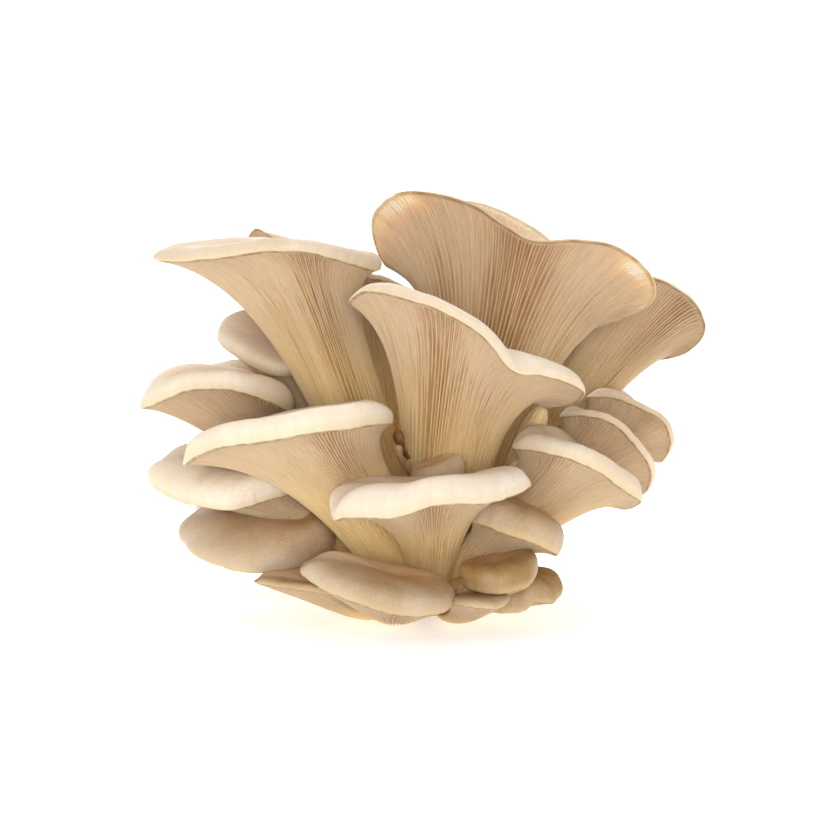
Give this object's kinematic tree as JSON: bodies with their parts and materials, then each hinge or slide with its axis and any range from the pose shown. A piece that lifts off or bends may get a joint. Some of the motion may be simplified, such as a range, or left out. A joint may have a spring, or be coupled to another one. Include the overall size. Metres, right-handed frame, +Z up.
{
  "type": "oyster mushroom cluster",
  "caption": "Cluster of fan-shaped oyster mushrooms with gilled undersides and smooth rolled caps, growing from one cut butt that it stands on.",
  "frame": {"origin": "middle of the butt's flat cut face, which the cluster stands on", "axes": "+Z up out of the cut face, +X to the right and -Y towards the viewer of the pictured front"},
  "size_m": [0.1859, 0.1729, 0.1378],
  "materials": {
    "mushroom_flesh": "matte",
    "butt_flesh": "matte"
  },
  "bodies": {
    "root": {"butt": "butt_flesh", "mushroom_top_right": "mushroom_flesh", "mushroom_top_left": "mushroom_flesh", "mushroom_centre": "mushroom_flesh", "mushroom_right_rear": "mushroom_flesh", "mushroom_front_left": "mushroom_flesh", "mushroom_front": "mushroom_flesh", "mushroom_right_front": "mushroom_flesh", "mushroom_right_middle": "mushroom_flesh", "mushroom_right_back": "mushroom_flesh", "mushroom_left": "mushroom_flesh", "mushroom_left_upper": "mushroom_flesh", "mushroom_left_lower": "mushroom_flesh", "mushroom_left_lowest": "mushroom_flesh", "mushroom_right_lower": "mushroom_flesh", "mushroom_bottom_left": "mushroom_flesh", "mushroom_bottom_outer": "mushroom_flesh", "mushroom_bottom_right": "mushroom_flesh", "mushroom_bottom_small": "mushroom_flesh", "mushroom_bottom_far_right": "mushroom_flesh", "mushroom_inner_small": "mushroom_flesh", "mushroom_middle_rear": "mushroom_flesh", "mushroom_rear_high_left": "mushroom_flesh", "mushroom_rear_high": "mushroom_flesh", "mushroom_rear_right": "mushroom_flesh", "mushroom_rear_left": "mushroom_flesh", "mushroom_rear_middle": "mushroom_flesh", "mushroom_rear_low_left": "mushroom_flesh", "mushroom_rear_low_right": "mushroom_flesh", "mushroom_rear_lowest": "mushroom_flesh"}
  },
  "joints": []
}
